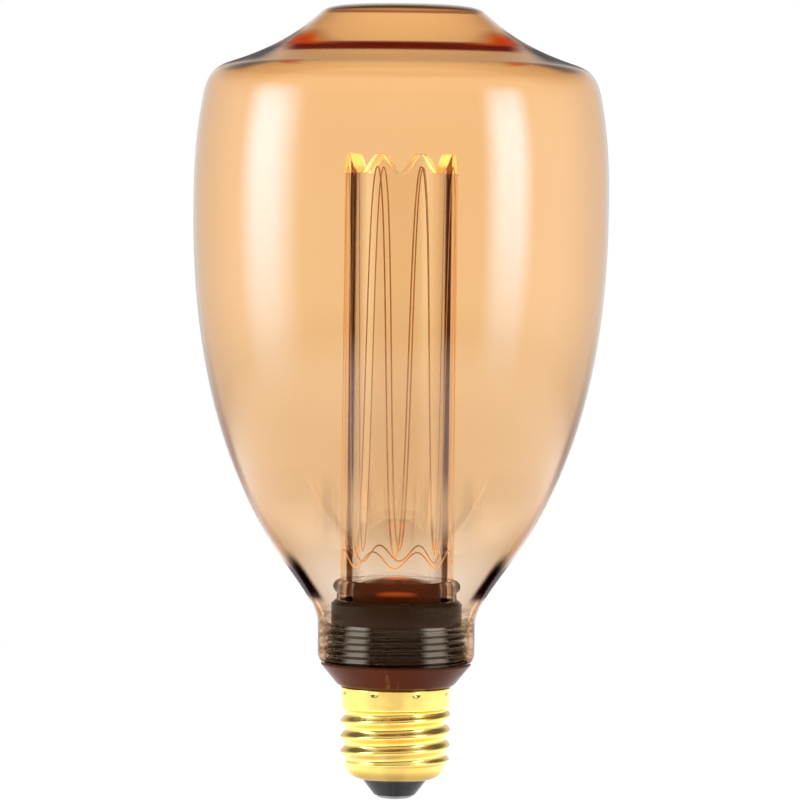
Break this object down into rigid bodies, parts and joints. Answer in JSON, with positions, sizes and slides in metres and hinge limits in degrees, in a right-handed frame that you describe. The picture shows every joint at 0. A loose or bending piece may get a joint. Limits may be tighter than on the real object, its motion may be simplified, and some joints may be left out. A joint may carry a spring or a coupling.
{
  "type": "light guide led bulb",
  "caption": "Screw-cap LED lamp with a pear-shaped amber glass envelope round a clear engraved light-guide tube with a wavy top edge.",
  "frame": {"origin": "tip of the centre contact, on the lamp's axis", "axes": "+Z along the lamp's axis, from the contact to the crown of the glass; -Y faces the camera"},
  "size_m": [0.0982, 0.0982, 0.1879],
  "materials": {
    "amber_glass": "clear blown glass with an amber coat on its inner face",
    "acrylic": "clear polished acrylic with engraved lines",
    "clear_silicone": "clear soft silicone",
    "brown_plastic": "glossy dark brown moulded plastic",
    "gold_brass": "bright gold-coloured brass with fine drawing marks",
    "contact_metal": "nickel-plated contact",
    "black_insulator": "black glossy insulator",
    "spreader_aluminium": "turned",
    "white_board": "white solder mask",
    "led_package": "white package with a yellow phosphor window",
    "screw_steel": "zinc plated",
    "green_board": "green solder mask",
    "dark_component": "moulded epoxy",
    "capacitor_sleeve": "shrunk sleeve on an aluminium can",
    "resistor_blue": "lacquered",
    "red_insulation": "wire insulation",
    "blue_insulation": "wire insulation",
    "black_insulation": "wire insulation"
  },
  "bodies": {
    "root": {"glass_envelope": "amber_glass", "light_guide_tube": "acrylic", "tube_gasket": "clear_silicone", "inner_plug": "brown_plastic", "tube_collar": "brown_plastic", "base_housing": "brown_plastic", "neck_adhesive": "clear_silicone", "heat_spreader": "spreader_aluminium", "led_board": "white_board", "led_chips": "led_package", "board_screws": "screw_steel", "driver_board": "green_board", "electrolytic_capacitor": "capacitor_sleeve", "inductor": "dark_component", "bridge_rectifier": "dark_component", "driver_ic": "dark_component", "fusible_resistor": "resistor_blue", "live_wire": "red_insulation", "neutral_wire": "blue_insulation", "led_lead_positive": "red_insulation", "led_lead_negative": "black_insulation", "cap_shell": "gold_brass", "cap_insulator": "black_insulator", "centre_contact": "contact_metal"}
  },
  "joints": []
}
